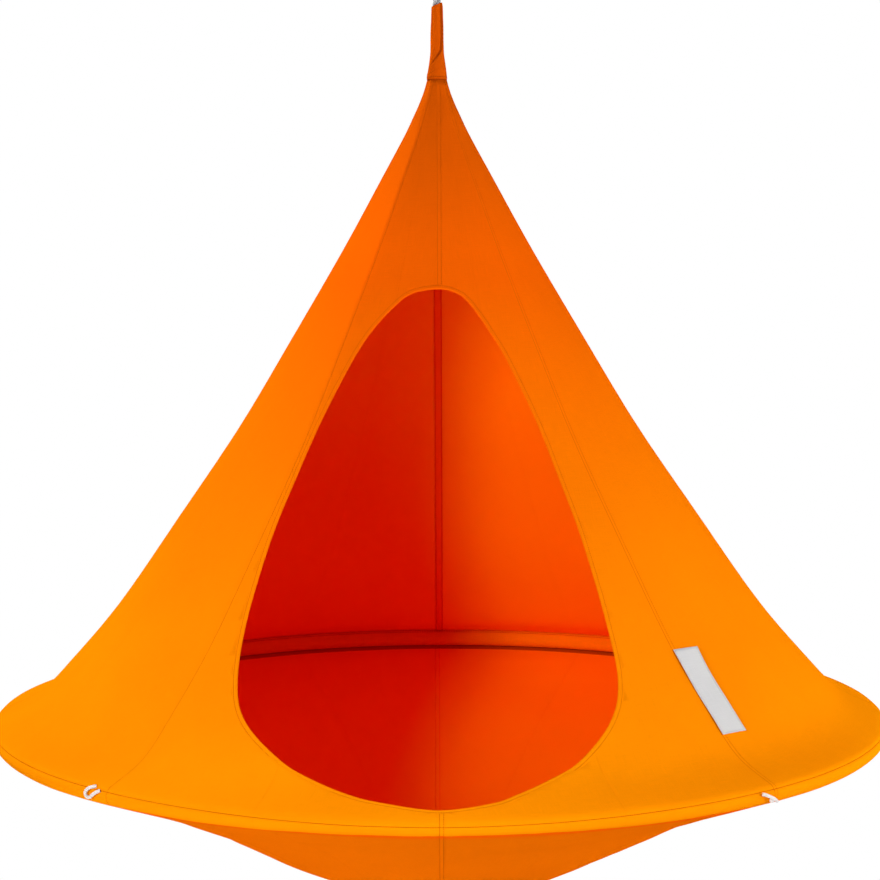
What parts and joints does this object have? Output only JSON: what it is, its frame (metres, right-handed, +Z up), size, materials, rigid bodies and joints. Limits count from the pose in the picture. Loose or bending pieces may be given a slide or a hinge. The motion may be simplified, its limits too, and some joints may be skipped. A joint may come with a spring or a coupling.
{
  "type": "hanging tent",
  "caption": "Cone-shaped hanging cloth tent with a round tube rim, a shallow cone floor and an egg-shaped doorway, hung by one rope on a swivel and carabiner.",
  "frame": {"origin": "centre of the ceiling plate's top face", "axes": "+Z up, out of the plate's top face; the doorway faces -Y; +X to the right of someone who faces the doorway"},
  "size_m": [1.5166, 1.5166, 1.8498],
  "materials": {
    "orange_fabric": "matte woven cotton",
    "white_fabric": "matte woven tape",
    "rope": "laid polyester rope",
    "splice_cover": "shrunk tube",
    "steel": "zinc plated",
    "brass": "turned",
    "aluminium": "anodised"
  },
  "bodies": {
    "ceiling_mount": {"ceiling_plate": "steel", "swivel_housing": "steel"},
    "swivel": {"swivel_eye": "steel", "swivel_nut": "steel", "swivel_washer": "brass"},
    "carabiner": {"carabiner_frame": "steel", "gate_pin": "steel"},
    "gate": {"carabiner_gate": "steel"},
    "tent": {"eye_thimble": "steel", "rope_eye": "rope", "rope_splice": "splice_cover", "hanging_rope": "rope", "rope_knot": "rope", "spreader_plate": "aluminium", "neck_sleeve": "orange_fabric", "upper_panel_front_right": "orange_fabric", "upper_panel_side_right_front": "orange_fabric", "upper_panel_side_right_back": "orange_fabric", "upper_panel_back_right": "orange_fabric", "upper_panel_back_left": "orange_fabric", "upper_panel_side_left_back": "orange_fabric", "upper_panel_side_left_front": "orange_fabric", "upper_panel_front_left": "orange_fabric", "door_hem": "orange_fabric", "seam_tape_front": "orange_fabric", "seam_tape_right_front": "orange_fabric", "seam_tape_right": "orange_fabric", "seam_tape_right_back": "orange_fabric", "seam_tape_back": "orange_fabric", "seam_tape_left_back": "orange_fabric", "seam_tape_left": "orange_fabric", "seam_tape_left_front": "orange_fabric", "blank_tag": "white_fabric", "rim_sleeve_front": "orange_fabric", "rim_sleeve_right": "orange_fabric", "rim_sleeve_back": "orange_fabric", "rim_sleeve_left": "orange_fabric", "ring_tube_front": "aluminium", "ring_tube_right": "aluminium", "ring_tube_back": "aluminium", "ring_tube_left": "aluminium", "ring_ferrule_right_front": "aluminium", "rim_tie_right_front": "white_fabric", "ring_ferrule_right_back": "aluminium", "rim_tie_right_back": "white_fabric", "ring_ferrule_left_back": "aluminium", "rim_tie_left_back": "white_fabric", "ring_ferrule_left_front": "aluminium", "rim_tie_left_front": "white_fabric", "floor_panel_front_right": "orange_fabric", "floor_panel_side_right_front": "orange_fabric", "floor_panel_side_right_back": "orange_fabric", "floor_panel_back_right": "orange_fabric", "floor_panel_back_left": "orange_fabric", "floor_panel_side_left_back": "orange_fabric", "floor_panel_side_left_front": "orange_fabric", "floor_panel_front_left": "orange_fabric", "floor_patch": "orange_fabric"}
  },
  "joints": [
    {"name": "swivel_spin", "type": "hinge", "parent": "ceiling_mount", "child": "swivel", "pos_m": [0, 0, -0.0323], "axis": [0, 0, 1], "continuous": true},
    {"name": "carabiner_swing", "type": "hinge", "parent": "swivel", "child": "carabiner", "pos_m": [0, 0, -0.0775], "axis": [1, 0, 0], "range_deg": [-20, 20]},
    {"name": "gate_open", "type": "hinge", "parent": "carabiner", "child": "gate", "pos_m": [0, -0.02, -0.1302], "axis": [-1, 0, 0], "range_deg": [0, 25], "stiffness_Nm_per_rad": 0.1, "springref_deg": -11.46},
    {"name": "tent_swing", "type": "hinge", "parent": "carabiner", "child": "tent", "pos_m": [0, 0, -0.1572], "axis": [0, 1, 0], "range_deg": [-20, 20]}
  ]
}
